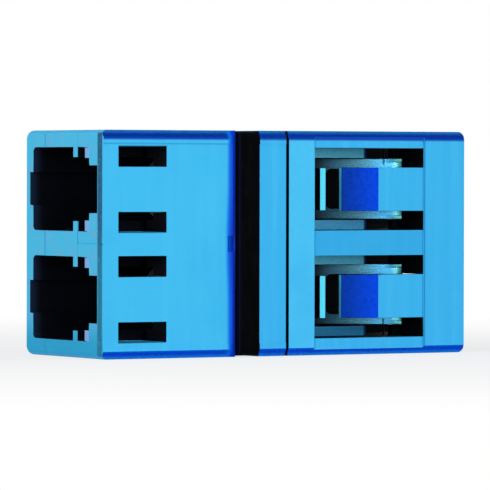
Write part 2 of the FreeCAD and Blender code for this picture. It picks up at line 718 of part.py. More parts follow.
def return_spring(name, height, side):
    """A torsion spring round the outer pin: a foot across the leaf's arm, a coil and a tang.

    The wire has eight flats, which keeps so fine a coil light.
    """
    radius, pitch = size("spring_radius"), size("spring_pitch")
    wire, start = size("spring_wire_radius"), size("spring_start")
    arm = FreeCAD.Vector(-size("spring_arm"), -size("leaf_thickness") / 2 - wire, 0)
    lean = math.acos(radius / arm.Length)
    begin = math.atan2(arm.y, arm.x) + 2 * math.pi + lean
    finish = math.radians(size("closed_angle") - 90) + 2 * math.pi
    turns = size("spring_full_turns") + (finish - begin) / (2 * math.pi)
    rise = pitch / (2 * math.pi * radius)

    def on_coil(angle):
        level = start + (angle - begin) / (2 * math.pi) * pitch
        return FreeCAD.Vector(radius * math.cos(angle), radius * math.sin(angle), level)

    def along_coil(angle):
        return FreeCAD.Vector(-math.sin(angle), math.cos(angle), rise).normalize()

    last = begin + 2 * math.pi * turns
    bend = on_coil(begin) - along_coil(begin) * (radius * math.tan(lean))
    foot = FreeCAD.Vector(bend.x, bend.y, size("spring_foot_end"))
    arc = tangent_arc(foot, bend, on_coil(begin), size("spring_bend_radius"))
    coil = Part.makeHelix(pitch, turns * pitch, radius)
    coil.rotate(FreeCAD.Vector(), FreeCAD.Vector(0, 0, 1), math.degrees(begin))
    coil.translate(FreeCAD.Vector(0, 0, start))
    path = Part.Wire([
        Part.LineSegment(foot, arc[0]).toShape(),
        Part.Arc(*arc).toShape(),
        Part.LineSegment(arc[2], on_coil(begin)).toShape(),
        *coil.Edges,
        Part.LineSegment(on_coil(last), on_coil(last) + along_coil(last)
                         * size("spring_tang")).toShape(),
    ])
    along = (bend - foot).normalize()
    spoke = along.cross(FreeCAD.Vector(1, 0, 0)).normalize() * wire
    flats = int(size("spring_flats"))
    corners = [foot + FreeCAD.Rotation(along, 360 * i / flats) * spoke for i in range(flats)]
    shape = path.makePipeShell([Part.makePolygon(corners + corners[:1])], True, False)
    if side < 0:
        shape = shape.mirror(FreeCAD.Vector(), FreeCAD.Vector(0, 0, 1))
    spring = doc.addObject("Part::Feature", name)
    spring.Label = name
    spring.Shape = shape
    spring.Placement = hinge_placement(height)
    return spring


# ---------------------------------------------------------------------------------------------
# The adapter

lower_height = (size("body_height") - size("port_pitch")) / 2
PORTS = {"lower": (LOWER_PORT, lower_height, -1),
         "upper": (f"{LOWER_PORT} + Sizes.port_pitch", lower_height + size("port_pitch"), 1)}

pieces = [
    front_housing(),
    rear_housing(),
    panel_ring(),
    sleeve_holder("front_sleeve_holder", -1),
    sleeve_holder("rear_sleeve_holder", 1),
]
for port, (height_expression, port_height, outer_side) in PORTS.items():
    pieces += [
        split_sleeve(f"{port}_sleeve", height_expression),
        shutter_leaf(f"{port}_shutter", port_height),
        hinge_pin(f"{port}_shutter_outer_pin", port_height, outer_side, "Sizes.pin_reach_outer"),
        hinge_pin(f"{port}_shutter_inner_pin", port_height, -outer_side,
                  "Sizes.pin_reach_inner"),
        return_spring(f"{port}_shutter_spring", port_height, outer_side),
    ]
doc.recompute()

for item in doc.Objects:
    if "Invalid" in item.State or "Error" in item.State:
        raise RuntimeError(f"{item.Name} did not build: {item.State}")
os.makedirs("parts", exist_ok=True)
for piece in pieces:
    shape = piece.Shape
    if shape.isNull() or not shape.isValid() or len(shape.Solids) != 1:
        raise RuntimeError(f"{piece.Label} is not one valid solid")
    shape.exportStep(f"parts/{piece.Label}.step")
    print(f"{piece.Label}: {shape.Volume:.2f} mm3")
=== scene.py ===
import json
import math

import bpy
from mathutils import Matrix, Vector

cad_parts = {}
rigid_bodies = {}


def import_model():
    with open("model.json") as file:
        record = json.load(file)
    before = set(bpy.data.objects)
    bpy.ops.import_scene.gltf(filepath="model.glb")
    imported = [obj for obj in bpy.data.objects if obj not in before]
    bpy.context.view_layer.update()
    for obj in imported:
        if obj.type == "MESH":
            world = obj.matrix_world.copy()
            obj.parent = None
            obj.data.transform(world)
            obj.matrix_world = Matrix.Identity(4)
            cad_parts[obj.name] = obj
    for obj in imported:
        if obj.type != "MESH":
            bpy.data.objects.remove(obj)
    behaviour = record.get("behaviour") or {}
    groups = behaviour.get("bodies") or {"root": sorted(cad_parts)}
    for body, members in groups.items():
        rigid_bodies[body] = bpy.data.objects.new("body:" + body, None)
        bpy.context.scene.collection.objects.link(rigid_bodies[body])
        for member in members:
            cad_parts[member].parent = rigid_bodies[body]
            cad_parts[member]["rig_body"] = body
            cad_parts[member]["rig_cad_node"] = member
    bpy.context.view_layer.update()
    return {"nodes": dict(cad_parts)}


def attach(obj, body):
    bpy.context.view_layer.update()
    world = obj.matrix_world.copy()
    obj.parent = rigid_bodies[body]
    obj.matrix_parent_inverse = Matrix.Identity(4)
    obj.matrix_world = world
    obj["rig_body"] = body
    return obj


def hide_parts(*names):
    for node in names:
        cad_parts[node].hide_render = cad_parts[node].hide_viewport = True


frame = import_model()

# ---------------------------------------------------------------------------------------------
# The table, the light and the camera. A matt white table that stays white to the eye and
# keeps the adapter's soft shadow, a lamp straight in front, one at the left and a weak one at
# the right.

MM = 0.001
MIDDLE_HEIGHT = 6.5               # the adapter's middle above the table, in millimetres
TABLE_WIDTH = 8                   # metres
SHADOW_EDGE = (0.075, 0.012)      # metres from the middle: where the shadow is gone, and whole
SHADOW_SHARE = 0.3
# name, direction, distance and width in metres, and watts
LAMPS = (("lamp_front", (-0.15, -1.00, 0.12), 0.30, 0.12, 0.38),
         ("lamp_left", (-1.00, -0.35, 0.35), 0.28, 0.14, 0.36),
         ("lamp_right", (0.75, -0.35, 0.50), 0.30, 0.14, 0.08))
EYE = Vector((-141.18, -241.19, 10.87)) * MM
AIM = Vector((-0.13, 0, 6.34)) * MM
LENS, SENSOR = 350.7, 36          # millimetres
CAMERA_ROLL = 0.12                # degrees


def make(tree, kind, inputs=None, out=0, **settings):
    """A node of one kind with its settings, and its inputs set or wired; gives one output."""
    node = tree.nodes.new("ShaderNode" + kind)
    for name, value in settings.items():
        setattr(node, name, value)
    for key, value in (inputs or {}).items():
        if isinstance(value, bpy.types.NodeSocket):
            tree.links.new(value, node.inputs[key])
        else:
            node.inputs[key].default_value = value
    return node.outputs[out]


def pair(tree, a, b, operation):
    return make(tree, "Math", {0: a, 1: b}, operation=operation)


def ramp_up(tree, value, low, high, result=1.0):
    """0 below low and the result above high, smooth between; low may be the larger one."""
    return make(tree, "MapRange", {"Value": value, 1: low, 2: high, 4: result},
                interpolation_type="SMOOTHSTEP")


def seen_rays(tree):
    """1 for what the eye sees, straight or in a reflection, and 0 for light on the object."""
    path = make(tree, "LightPath").node
    either = pair(tree, path.outputs["Is Camera Ray"], path.outputs["Is Glossy Ray"], "MAXIMUM")
    return pair(tree, either, path.outputs["Is Transmission Ray"], "MAXIMUM")


bpy.ops.object.select_all(action="DESELECT")
bpy.ops.mesh.primitive_plane_add(size=TABLE_WIDTH, location=(0, 0, 0))
table = bpy.context.object
table.name = "table"
table_finish = bpy.data.materials.new("matt_table")
table_finish.use_nodes = True
tree = table_finish.node_tree
tree.nodes.clear()
from_middle = make(tree, "VectorMath", {0: make(tree, "TexCoord", out="Object")}, out="Value",
                   operation="LENGTH")
matt = make(tree, "BsdfDiffuse", {"Color": (0.86, 0.86, 0.87, 1)})
shadow = make(tree, "BsdfDiffuse", {"Color": (0.95, 0.95, 0.95, 1)})
glow = make(tree, "Emission", {"Color": (1, 1, 1, 1), "Strength": 1.0})
pale = make(tree, "MixShader", {0: ramp_up(tree, from_middle, *SHADOW_EDGE, SHADOW_SHARE),
                                1: glow, 2: shadow})
surface = make(tree, "MixShader", {0: seen_rays(tree), 1: matt, 2: pale})
output = tree.nodes.new("ShaderNodeOutputMaterial")
tree.links.new(surface, output.inputs["Surface"])
table.data.materials.append(table_finish)

world = bpy.data.worlds.new("studio")
bpy.context.scene.world = world
world.use_nodes = True
tree = world.node_tree
tree.nodes.clear()
room = make(tree, "Background", {"Color": (0.93, 0.96, 1.0, 1), "Strength": 0.42})
backdrop = make(tree, "Background", {"Color": (1, 1, 1, 1), "Strength": 1.0})
surface = make(tree, "MixShader", {0: seen_rays(tree), 1: room, 2: backdrop})
output = tree.nodes.new("ShaderNodeOutputWorld")
tree.links.new(surface, output.inputs["Surface"])

middle = Vector((0, 0, MIDDLE_HEIGHT * MM))
for name, direction, distance, width, power in LAMPS:
    place = middle + Vector(direction).normalized() * distance
    bpy.ops.object.light_add(type="AREA", location=place)
    lamp = bpy.context.object
    lamp.name = name
    lamp.rotation_euler = (middle - place).to_track_quat("-Z", "Y").to_euler()
    lamp.data.size = width
    lamp.data.energy = power

bpy.ops.object.camera_add(location=EYE)
camera = bpy.context.object
camera.data.lens = LENS
camera.data.sensor_width = SENSOR
camera.data.clip_start = 0.01
camera.data.clip_end = 30
turned = (AIM - EYE).to_track_quat("-Z", "Y").to_matrix() @ Matrix.Rotation(
    math.radians(CAMERA_ROLL), 3, "Z")
camera.rotation_euler = turned.to_euler()
bpy.context.scene.camera = camera
bpy.context.scene.view_settings.view_transform = "Standard"

# ---------------------------------------------------------------------------------------------
# The two halves of the housing, moulded in blue plastic and snapped together. Each is a clean
# copy of its solid, with the soft edges that a mould leaves and fine parting marks.

HALF_LENGTH = 12.13        # from the joint to an open end; these sizes are in millimetres
HALF_DEPTH = 4.65          # from the middle to the latch face, and to the back
HEIGHT = 2 * MIDDLE_HEIGHT
PORT_AXIS = 3.125          # a port's axis above or under the middle
PORT_REACH = 2.395         # from a port's axis to its floor and its ceiling
PORT_BACK = 3.80           # the back wall of the ports, behind the middle
PORT_CORNER = 0.3          # the round of that wall's two corners
COLLAR_END = 1.84          # from the joint to the step where the window panel starts
WINDOW_END = 9.32          # from the joint to the far wall of the windows
RIM = 0.45                 # the round of the long back edges
END_ROUND = 0.32           # the round of an open end's rim
BACK_SHARE = 0.2           # how much of that round is left down the back
# dark slivers set where there is only shade, closing see-through slits: place along, depth,
# height off the port's axis, and size
SHADE_SLIVERS = ((9.34, 1.56, 1.311, (0.04, 1.68, 0.094)),     # beside the tongue's root
         (9.31, 2.39, 1.510, (0.06, 0.06, 0.580)),     # on the window's far wall
         (9.43, 3.30, 1.804, (0.74, 0.53, 0.044)))     # on the rail's inner face

FRONT_BLUE = (0.049, 0.492, 0.83, 1)
REAR_BLUE = (0.040, 0.442, 0.82, 1)
COLLAR_BLUE = (0.064, 0.530, 0.87, 1)
STREAK_BLUE = (0.066, 0.530, 0.87, 1)
CLOUD_BLUE = (0.032, 0.450, 0.82, 1)
SPECK_BLUE = (0.075, 0.400, 0.70, 1)
LAND_BLUE = (0.024, 0.350, 0.70, 1)
# painted shade on the rounded faces
ROUNDED_SHADE_BLUE = (0.012, 0.290, 0.60, 1)
END_BLUE = (0.050, 0.490, 0.76, 1)
END_GREY = (0.105, 0.430, 0.69, 1)
END_FOOT_BLUE = (0.008, 0.340, 0.59, 1)
END_CORNER_SHADES = (0.002, 0.170, 0.30, 1), (0.0, 0.092, 0.20, 1)      # lower port, upper port
WITNESS_BLUE = (0.030, 0.340, 0.55, 1)
LEAD_SHEEN_LILAC = (0.220, 0.400, 0.80, 1)
SHUT_OFF_BLUE = (0.012, 0.270, 0.66, 1)
WINDOW_LINE_BLUE = (0.006, 0.210, 0.52, 1)
STEP_LINE_BLUE = (0.020, 0.350, 0.74, 1)
UPPER_EDGE_SHADE = (0.0005, 0.052, 0.42, 1)
HOOK_BLUE = (0.100, 0.720, 0.93, 1)
TONGUE_TIP_HIGHLIGHT = (0.100, 0.660, 1.00, 1)
RAIL_LIT_BLUES = (0.12, 0.70, 1.0, 1), (0.17, 0.76, 1.0, 1)
RAIL_SHADED_BLUES = (0.06, 0.42, 0.84, 1), (0.11, 0.48, 0.72, 1)
RAIL_LOWEST_SHADE = (0.012, 0.170, 0.38, 1)
RAIL_END_SHADE = (0.001, 0.020, 0.13, 1)
# painted shade where the latch face rolls into the groove: where each shade starts and is whole,
# along the adapter
ROLL_SHADES = ((-4.06, -3.86, (0.0006, 0.170, 0.76, 1)), (-3.88, -3.66, (0.0004, 0.045, 0.60, 1)),
              (-3.66, -3.46, (0.0010, 0.022, 0.36, 1)), (-3.46, -3.34, (0.0060, 0.055, 0.50, 1)))
# painted shade on the slanted faces: the upper bevels, the lower bevels and the tongues' slopes
TOP_BEVEL_SHADE = (0.0004, 0.033, 0.32, 1)
TOP_RIM_SHADE = (0.010, 0.150, 0.46, 1)
TOP_BRINK_SHADE = (0.0004, 0.052, 0.42, 1)
LOW_BEVEL_SHADE = (0.0004, 0.062, 0.58, 1)
LOW_RIM_SHADE = (0.007, 0.200, 0.72, 1)
LOW_BRINK_SHADE = (0.0015, 0.150, 0.76, 1)
SLOPE_SHADES = (0.0003, 0.044, 0.42, 1), (0.0003, 0.058, 0.70, 1)     # at the tip, at the root
SEAM_BLACK = (0.003, 0.010, 0.020, 1)
WINDOW_WALL_SHADE = (0.0012, 0.0018, 0.0032, 1)
# painted shade inside the ports and windows, and painted light by the front mouth
PORT_SHADE_BLACKS = (0.0010, 0.0014, 0.0028, 1), (0.0026, 0.0038, 0.0080, 1)
MOUTH_LIGHT_NAVY = (0.009, 0.019, 0.048, 1)


def lift_solid(node, name):
    """A merged copy of a CAD solid under a new name, which stands in for that solid."""
    bpy.ops.object.select_all(action="DESELECT")
    piece = frame["nodes"][node].copy()
    piece.data = piece.data.copy()
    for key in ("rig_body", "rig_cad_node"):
        del piece[key]
    piece.name = piece.data.name = name
    piece.parent = None
    bpy.context.collection.objects.link(piece)
    bpy.context.view_layer.objects.active = piece
    piece.select_set(True)
    bpy.ops.object.mode_set(mode="EDIT")
    bpy.ops.mesh.select_all(action="SELECT")
    bpy.ops.mesh.remove_doubles(threshold=2e-6)
    bpy.ops.mesh.customdata_custom_splitnormals_clear()
    bpy.ops.mesh.dissolve_limited(angle_limit=math.radians(0.4))
    bpy.ops.mesh.select_all(action="DESELECT")
    bpy.ops.object.mode_set(mode="OBJECT")
    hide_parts(node)
    return piece


def sharpen_back_edge(housing, end):
    """The rim of the open end is crisper down the back than along the top and bottom."""
    back = HALF_DEPTH - RIM
    for corner in housing.data.vertices:
        x, y, z = corner.co / MM
        inward = abs(end - x)
        centre = min(max(z, RIM), HEIGHT - RIM)
        outward = Vector((y - back, z - centre))
        under = RIM - outward.length
        if inward < END_ROUND + 0.001 and y > back and under < END_ROUND + 0.001:
            to_top = math.atan2(abs(outward.y), outward.x) / (math.pi / 2)
            kept = BACK_SHARE + (1 - BACK_SHARE) * to_top
            outward *= (RIM - kept * under) / outward.length
            corner.co = Vector((end - math.copysign(inward * kept, end), back + outward.x,
                                centre + outward.y)) * MM


def bevel_edges(piece, chosen, radius, steps):
    """Round the edges of a piece that a test picks out."""
    for edge in piece.data.edges:
        edge.select = chosen(edge)
    bpy.context.view_layer.objects.active = piece
    bpy.context.tool_settings.mesh_select_mode = (False, True, False)
    bpy.ops.object.mode_set(mode="EDIT")
    bpy.ops.mesh.bevel(offset=radius, segments=steps, affect="EDGES", clamp_overlap=False)
    bpy.ops.mesh.select_all(action="DESELECT")
    bpy.ops.object.mode_set(mode="OBJECT")


def round_port_corners(housing):
    """Round the two back corners of each port, all along it."""
    def on_corner(corner):
        off_axis = abs(abs(corner.z / MM - MIDDLE_HEIGHT) - PORT_AXIS)
        return abs(corner.y / MM - PORT_BACK) < 0.01 and abs(off_axis - PORT_REACH) < 0.01

    corners = housing.data.vertices
    bevel_edges(housing, lambda edge: all(on_corner(corners[v].co) for v in edge.vertices),
                PORT_CORNER * MM, 5)


def width_of(face, mesh):
    """How wide a face is across its shorter way."""
    corners = [mesh.vertices[v].co for v in face.vertices]
    extents = sorted(max(c[i] for c in corners) - min(c[i] for c in corners) for i in range(3))
    return extents[1]


def soften_edges(piece, radius, steps, least_width, least_turn=40, smooth=42):
    """Round the sharp edges between faces that are wide enough to take it, then shade it."""
    mesh = piece.data
    faces_on = {}
    for face in mesh.polygons:
        for key in face.edge_keys:
            faces_on.setdefault(key, []).append(face)

    def on_back_rim(edge):
        """Whether an edge lies on the back rim of an open end, whose rounding is done."""
        return all(abs(mesh.vertices[v].co.x) > 11.8 * MM and mesh.vertices[v].co.y > 4.15 * MM
                   for v in edge.vertices)

    def is_sharp(edge):
        near = faces_on.get(tuple(sorted(edge.vertices)), [])
        return (len(near) == 2 and not on_back_rim(edge)
                and near[0].normal.angle(near[1].normal) > math.radians(least_turn)
                and min(width_of(face, mesh) for face in near) > least_width)

    bevel_edges(piece, is_sharp, radius, steps)
    bpy.ops.object.select_all(action="DESELECT")
    piece.select_set(True)
    bpy.ops.object.shade_smooth_by_angle(angle=math.radians(smooth))
    even = piece.modifiers.new("even", "WEIGHTED_NORMAL")
    even.keep_sharp = True
    even.weight = 100
    bpy.ops.object.modifier_apply(modifier=even.name)


def add_shade_slivers(housing):
    """Hair-thin dark slivers set where there is only shade, by the tongues' roots and on the
    rails.
    """
    strips = [housing]
    for port in (MIDDLE_HEIGHT - PORT_AXIS, MIDDLE_HEIGHT + PORT_AXIS):
        for side in (-1, 1):
            for x, depth, off_axis, size in SHADE_SLIVERS:
                bpy.ops.object.select_all(action="DESELECT")
                bpy.ops.mesh.primitive_cube_add(size=1)
                strip = bpy.context.object
                strip.scale = Vector(size) * MM
                strip.location = Vector((x, depth - HALF_DEPTH, port + side * off_axis)) * MM
                bpy.ops.object.transform_apply(location=True, rotation=True, scale=True)
                strips.append(strip)
    bpy.ops.object.select_all(action="DESELECT")
    for piece in strips:
        piece.select_set(True)
    bpy.context.view_layer.objects.active = housing
    bpy.ops.object.join()


def both(tree, *masks):
    """1 where all the masks are 1."""
    product = masks[0]
    for mask in masks[1:]:
        product = pair(tree, product, mask, "MULTIPLY")
    return product


def between(tree, value, low, high, soft=0.01, result=1.0):
    """The result between low and high, 0 outside."""
    return both(tree, ramp_up(tree, value, low - soft, low + soft, result),
                ramp_up(tree, value, high + soft, high - soft))


def blend_colour(tree, factor, a, b):
    return make(tree, "Mix", {0: factor, 6: a, 7: b}, out=2, data_type="RGBA")


def lay_over(tree, colour, *coats):
    """A colour under coats of others, each where its mask is 1."""
    for mask, shade in coats:
        colour = blend_colour(tree, mask, colour, shade)
    return colour


def place_in_mm(tree):
    """Where a point of the piece is, in millimetres, whole and as three numbers."""
    place = make(tree, "VectorMath", {0: make(tree, "TexCoord", out="Object"), 3: 1 / MM},
                 operation="SCALE")
    return place, make(tree, "SeparateXYZ", {0: place}).node.outputs


def below_latch_face(tree, y):
    return pair(tree, y, HALF_DEPTH, "ADD")


def gap_to(tree, value, target):
    """How far a value is from a target, either way."""
    return make(tree, "Math", {0: pair(tree, value, target, "SUBTRACT")}, operation="ABSOLUTE")


def off_port_axis(tree, z):
    """How high a point is above or under the axis of the nearer port."""
    return gap_to(tree, gap_to(tree, z, MIDDLE_HEIGHT), PORT_AXIS)


def stretched(tree, place, scale):
    return make(tree, "Mapping", {"Vector": place, "Scale": scale})


def noise(tree, place, scale, detail=3.0, roughness=0.55):
    return make(tree, "TexNoise", {"Vector": place, "Scale": scale, "Detail": detail,
                                   "Roughness": roughness})


def new_finish(name, metallic=0.0, specular=0.5):
    material = bpy.data.materials.new(name)
    material.use_nodes = True
    body = material.node_tree.nodes["Principled BSDF"]
    body.inputs["Metallic"].default_value = metallic
    body.inputs["Specular IOR Level"].default_value = specular
    return material, material.node_tree, body


def coat(body, colour, grain, satin, rough, relief, strength, height):
    """Wire a finish: its colour, its gloss from satin to rough with the grain, its relief."""
    tree = body.id_data
    gloss = make(tree, "MapRange", {"Value": grain, 3: satin, 4: rough})
    bump = make(tree, "Bump", {"Height": relief, "Strength": strength, "Distance": height})
    for socket, value in (("Base Color", colour), ("Roughness", gloss), ("Normal", bump)):
        tree.links.new(value, body.inputs[socket])


def shade_roll_over(tree, colour, x, depth, from_centre):
    """Painted shade where the latch face rolls over into the groove, from royal blue to ink."""
    shifted = pair(tree, x, ramp_up(tree, from_centre, 3.5, 0.3, 0.09), "ADD")
    here = both(tree, ramp_up(tree, depth, 0.9, 0.8), ramp_up(tree, x, -3.0, -3.1),
                ramp_up(tree, from_centre, 6.495, 6.48))
    return lay_over(tree, colour, *(
        (both(tree, here, make(tree, "MapRange", {"Value": shifted, 1: low, 2: high})), shade)
        for low, high, shade in ROLL_SHADES))


def end_colours(tree, place, z, depth, off_axis):
    """The end faces: mottled, darker at the foot, with painted shade beside the latch face, and
    parting marks.
    """
    mottled = ramp_up(tree, noise(tree, place, 1.5, 4.0, 0.65), 0.45, 0.68)
    # painted shade beside the rounded rim, deeper by the upper port
    band = both(tree, ramp_up(tree, depth, 0.78, 0.56), ramp_up(tree, depth, 0.04, 0.18))
    beside_port = ramp_up(tree, off_axis, 2.38, 2.40)
    return lay_over(
        tree, blend_colour(tree, mottled, END_BLUE, END_GREY),
        (ramp_up(tree, z, 2.6, 0.6, 0.95), END_FOOT_BLUE),
        (band, blend_colour(tree, ramp_up(tree, z, 5.0, 8.0), *END_CORNER_SHADES)),
        (both(tree, between(tree, depth, 6.92, 7.04, result=0.8), beside_port), WITNESS_BLUE),
        (both(tree, between(tree, depth, 2.95, 3.07, result=0.4), beside_port), WITNESS_BLUE))


def rail_light_and_shade(tree, x, z, speckle):
    """The rails in the windows, greyer than the faces, with painted light and shade: lit on the
    upper rails, duller lower down, darker on the lowest, and painted shade at the end.
    """
    specks = ramp_up(tree, speckle, 0.40, 0.68)
    lit_rail = blend_colour(tree, specks, *RAIL_LIT_BLUES)
    shaded_rail = lay_over(tree, blend_colour(tree, specks, *RAIL_SHADED_BLUES),
                    (ramp_up(tree, z, 1.8, 1.4, 0.8), RAIL_LOWEST_SHADE))
    upper = pair(tree, ramp_up(tree, z, 11.3, 11.4), between(tree, z, 5.1, 5.85), "MAXIMUM")
    return lay_over(tree, shaded_rail, (upper, lit_rail), (ramp_up(tree, x, 6.96, 7.12), RAIL_END_SHADE))


def blue_plastic():
    """Satin blue plastic, with flow streaks on the faces and a mottled end, and painted light
    and shade on its edges, windows and rails.
    """
    material, tree, body = new_finish("moulded_blue", specular=0.12)
    place, (x, y, z) = place_in_mm(tree)
    facing = make(tree, "VectorMath", {0: make(tree, "TexCoord", out="Normal")},
                  operation="ABSOLUTE")
    ax, ay, az = make(tree, "SeparateXYZ", {0: facing}).node.outputs
    squareness = pair(tree, pair(tree, ax, ay, "MAXIMUM"), az, "MAXIMUM")
    depth = below_latch_face(tree, y)
    from_centre = gap_to(tree, z, MIDDLE_HEIGHT)
    off_axis = off_port_axis(tree, z)
    from_joint = make(tree, "Math", {0: x}, operation="ABSOLUTE")
    streaks = noise(tree, stretched(tree, place, (1.7, 0.4, 0.09)), 1.0, 4.0)
    clouds = noise(tree, place, 0.33, 2.0)
    speckle = noise(tree, place, 5.0, 2.0, 0.7)

    # where each mark and each part of the housing lies
    on_latch_face = both(tree, ramp_up(tree, ay, 0.75, 0.95), ramp_up(tree, depth, 0.3, 0.2))
    on_end = ramp_up(tree, ax, 0.75, 0.95)
    collar = between(tree, x, 0, COLLAR_END)
    between_windows = both(tree, between(tree, x, COLLAR_END, WINDOW_END),
                           ramp_up(tree, from_centre, 0.75, 0.65, 0.5))
    # painted shade on faces that turn away between the axes, less of it at the open ends
    rounded_shade = pair(tree, ramp_up(tree, squareness, 0.978, 0.85, 0.8),
                   ramp_up(tree, from_joint, 11.7, 11.85, 0.5), "SUBTRACT")
    shut_off = both(tree, between(tree, z, 12.19, 12.28, 0.03),
                    ramp_up(tree, x, -3.9, -4.0, 0.5))
    window_line = between(tree, x, 9.26, 9.40, 0.04)
    step_line = between(tree, x, 1.80, 1.92, 0.04, 0.6)
    hook = both(tree, between(tree, x, 2.26, 2.7), between(tree, depth, 0.08, 0.13),
                ramp_up(tree, off_axis, 1.28, 1.24))
    # painted highlight on the tips of the tongues
    tongue_tip_highlight = both(tree, between(tree, x, 4.10, 4.22), ramp_up(tree, ax, 0.7, 0.8),
                      ramp_up(tree, depth, 1.3, 1.2))
    rail = both(tree, between(tree, x, 1.8, 7.25), between(tree, depth, 2.95, 3.08),
                ramp_up(tree, off_axis, 2.45, 2.43))
    # painted reflection on the lead-ins of the ear slots at the open ends
    lead = both(tree, between(tree, from_joint, 11.99, 12.125, 0.004),
                between(tree, depth, 1.66, 2.40), between(tree, off_axis, 1.77, 2.40))
    # painted shade on the windows' far walls
    window_wall_shade = both(tree, between(tree, x, 9.29, 9.35), ramp_up(tree, ax, 0.8, 0.9),
                      ramp_up(tree, off_axis, 2.40, 2.38), ramp_up(tree, depth, 0.06, 0.10))

    # the streaked and clouded plastic first, then the ends, the fine marks, and the parts with
    # their painted light and shade
    colour = lay_over(
        tree, blend_colour(tree, ramp_up(tree, x, -3.4, -2.0), FRONT_BLUE, REAR_BLUE),
        (both(tree, on_latch_face, collar), COLLAR_BLUE),
        (ramp_up(tree, streaks, 0.42, 0.72, 0.5), STREAK_BLUE),
        (ramp_up(tree, clouds, 0.45, 0.70, 0.4), CLOUD_BLUE),
        (on_end, end_colours(tree, place, z, depth, off_axis)),
        (ramp_up(tree, speckle, 0.52, 0.75, 0.35), SPECK_BLUE),
        (both(tree, on_latch_face, between_windows), LAND_BLUE),
        (make(tree, "Clamp", {"Value": rounded_shade}), ROUNDED_SHADE_BLUE),
        (both(tree, on_latch_face, shut_off), SHUT_OFF_BLUE),
        (both(tree, on_latch_face, window_line), WINDOW_LINE_BLUE),
        (both(tree, on_latch_face, step_line), STEP_LINE_BLUE),
        # painted shade along the latch face's upper edge
        (both(tree, on_latch_face, ramp_up(tree, z, 12.38, 12.53)), UPPER_EDGE_SHADE),
        (hook, HOOK_BLUE),
        (tongue_tip_highlight, TONGUE_TIP_HIGHLIGHT),
        (rail, rail_light_and_shade(tree, x, z, speckle)),
        (lead, LEAD_SHEEN_LILAC))
    colour = lay_over(
        tree, shade_roll_over(tree, colour, x, depth, from_centre),
        (window_wall_shade, WINDOW_WALL_SHADE),
        (ramp_up(tree, from_joint, 0.10, 0.09), SEAM_BLACK))
    coat(body, colour, speckle, 0.42, 0.58, noise(tree, place, 14.0, 2.0), 0.2, 5e-6)
    return material


def slant_shade_plastic():
    """Painted shade where the same plastic slants: ink blue on the upper bevels, royal blue on
    the lower ones, deep blue on the tongues' slopes.
    """
    material, tree, body = new_finish("slanted_painted_shade", specular=0.03)
    place, (x, y, z) = place_in_mm(tree)
    facing = make(tree, "SeparateXYZ", {0: make(tree, "TexCoord", out="Normal")}).node.outputs
    from_centre = gap_to(tree, z, MIDDLE_HEIGHT)
    rim = ramp_up(tree, from_centre, 6.24, 6.46)
    brink = ramp_up(tree, from_centre, 6.17, 6.04)
    top = lay_over(tree, TOP_BEVEL_SHADE, (rim, TOP_RIM_SHADE), (brink, TOP_BRINK_SHADE))
    low = lay_over(tree, LOW_BEVEL_SHADE, (rim, LOW_RIM_SHADE), (brink, LOW_BRINK_SHADE))
    slope = blend_colour(tree, ramp_up(tree, x, 4.3, 6.2), *SLOPE_SHADES)
    colour = lay_over(tree, top, (ramp_up(tree, facing["Z"], -0.1, -0.2), low),
                      (ramp_up(tree, facing["X"], -0.2, -0.3), slope))
    colour = shade_roll_over(tree, colour, x, below_latch_face(tree, y), from_centre)
    speckle = noise(tree, place, 5.0, 3.0, 0.7)
    darker = make(tree, "HueSaturation", {"Color": colour, "Value": 0.76})
    colour = blend_colour(tree, ramp_up(tree, speckle, 0.42, 0.68), colour, darker)
    coat(body, colour, speckle, 0.48, 0.62, noise(tree, place, 14.0, 2.0), 0.2, 5e-6)
    return material


def inside_shade_finish():
    """Painted shade: the blue plastic inside the ports and windows and on the walls of the
    groove, coloured near black as if unlit, with a little painted light on the back wall by the
    front mouth.
    """
    material, tree, body = new_finish("shaded_inside", specular=0.04)
    place, (x, y, _) = place_in_mm(tree)
    grain = noise(tree, place, 2.5, 3.0)
    lit_by_mouth = both(tree, ramp_up(tree, below_latch_face(tree, y), 7.8, 8.3),
                    ramp_up(tree, x, -11.4, -12.1))
    colour = lay_over(tree, blend_colour(tree, grain, *PORT_SHADE_BLACKS), (lit_by_mouth, MOUTH_LIGHT_NAVY))
    coat(body, colour, grain, 0.5, 0.65, noise(tree, place, 14.0, 2.0), 0.2, 5e-6)
    return material


OPEN, INSIDE_SHADE, SLANT_SHADE = 0, 1, 2
housing_finishes = (blue_plastic(), inside_shade_finish(), slant_shade_plastic())      # by these numbers


def finish_of(face, mesh):
    """Which of the three finishes a face has, by its place, its width and the way it faces."""
    x, y, z = face.center / MM
    depth, off_axis = y + HALF_DEPTH, abs(abs(z - MIDDLE_HEIGHT) - PORT_AXIS)
    along, to_latch = abs(face.normal.x), -face.normal.y
    if -3.9 < x < -3.2 and depth < 0.75 and face.normal.x > 0.1:      # rolls into the groove
        return SLANT_SHADE
    # the groove's walls take the painted inside shade
    if -3.3 < x < -1.8 and depth < 8.6 and along > 0.9:               # a wall of the groove
        return INSIDE_SHADE
    if x < -12.08 and abs(depth - 3.04) < 0.05 and 6.5 < z < 7.79:    # in the parting mark
        return OPEN
    rail = 1.8 < x < 7.3 and abs(depth - 3.03) < 0.03 and to_latch > 0.9
    tongue = 4.1 < x < 9.4 and depth < 1.24 and off_axis < 1.3 and max(along, to_latch) > 0.83
    lead = abs(x) > 12.0 and along > 0.9
    within = abs(x) < 12.12 and 0.15 < depth < 9.0 and off_axis < 2.43
    if within and not (rail or tongue or lead):
        return INSIDE_SHADE
    # wide slanted faces take the painted shade
    slanted = max(along, abs(to_latch), abs(face.normal.z)) < 0.97
    return SLANT_SHADE if slanted and width_of(face, mesh) > 0.16 * MM else OPEN


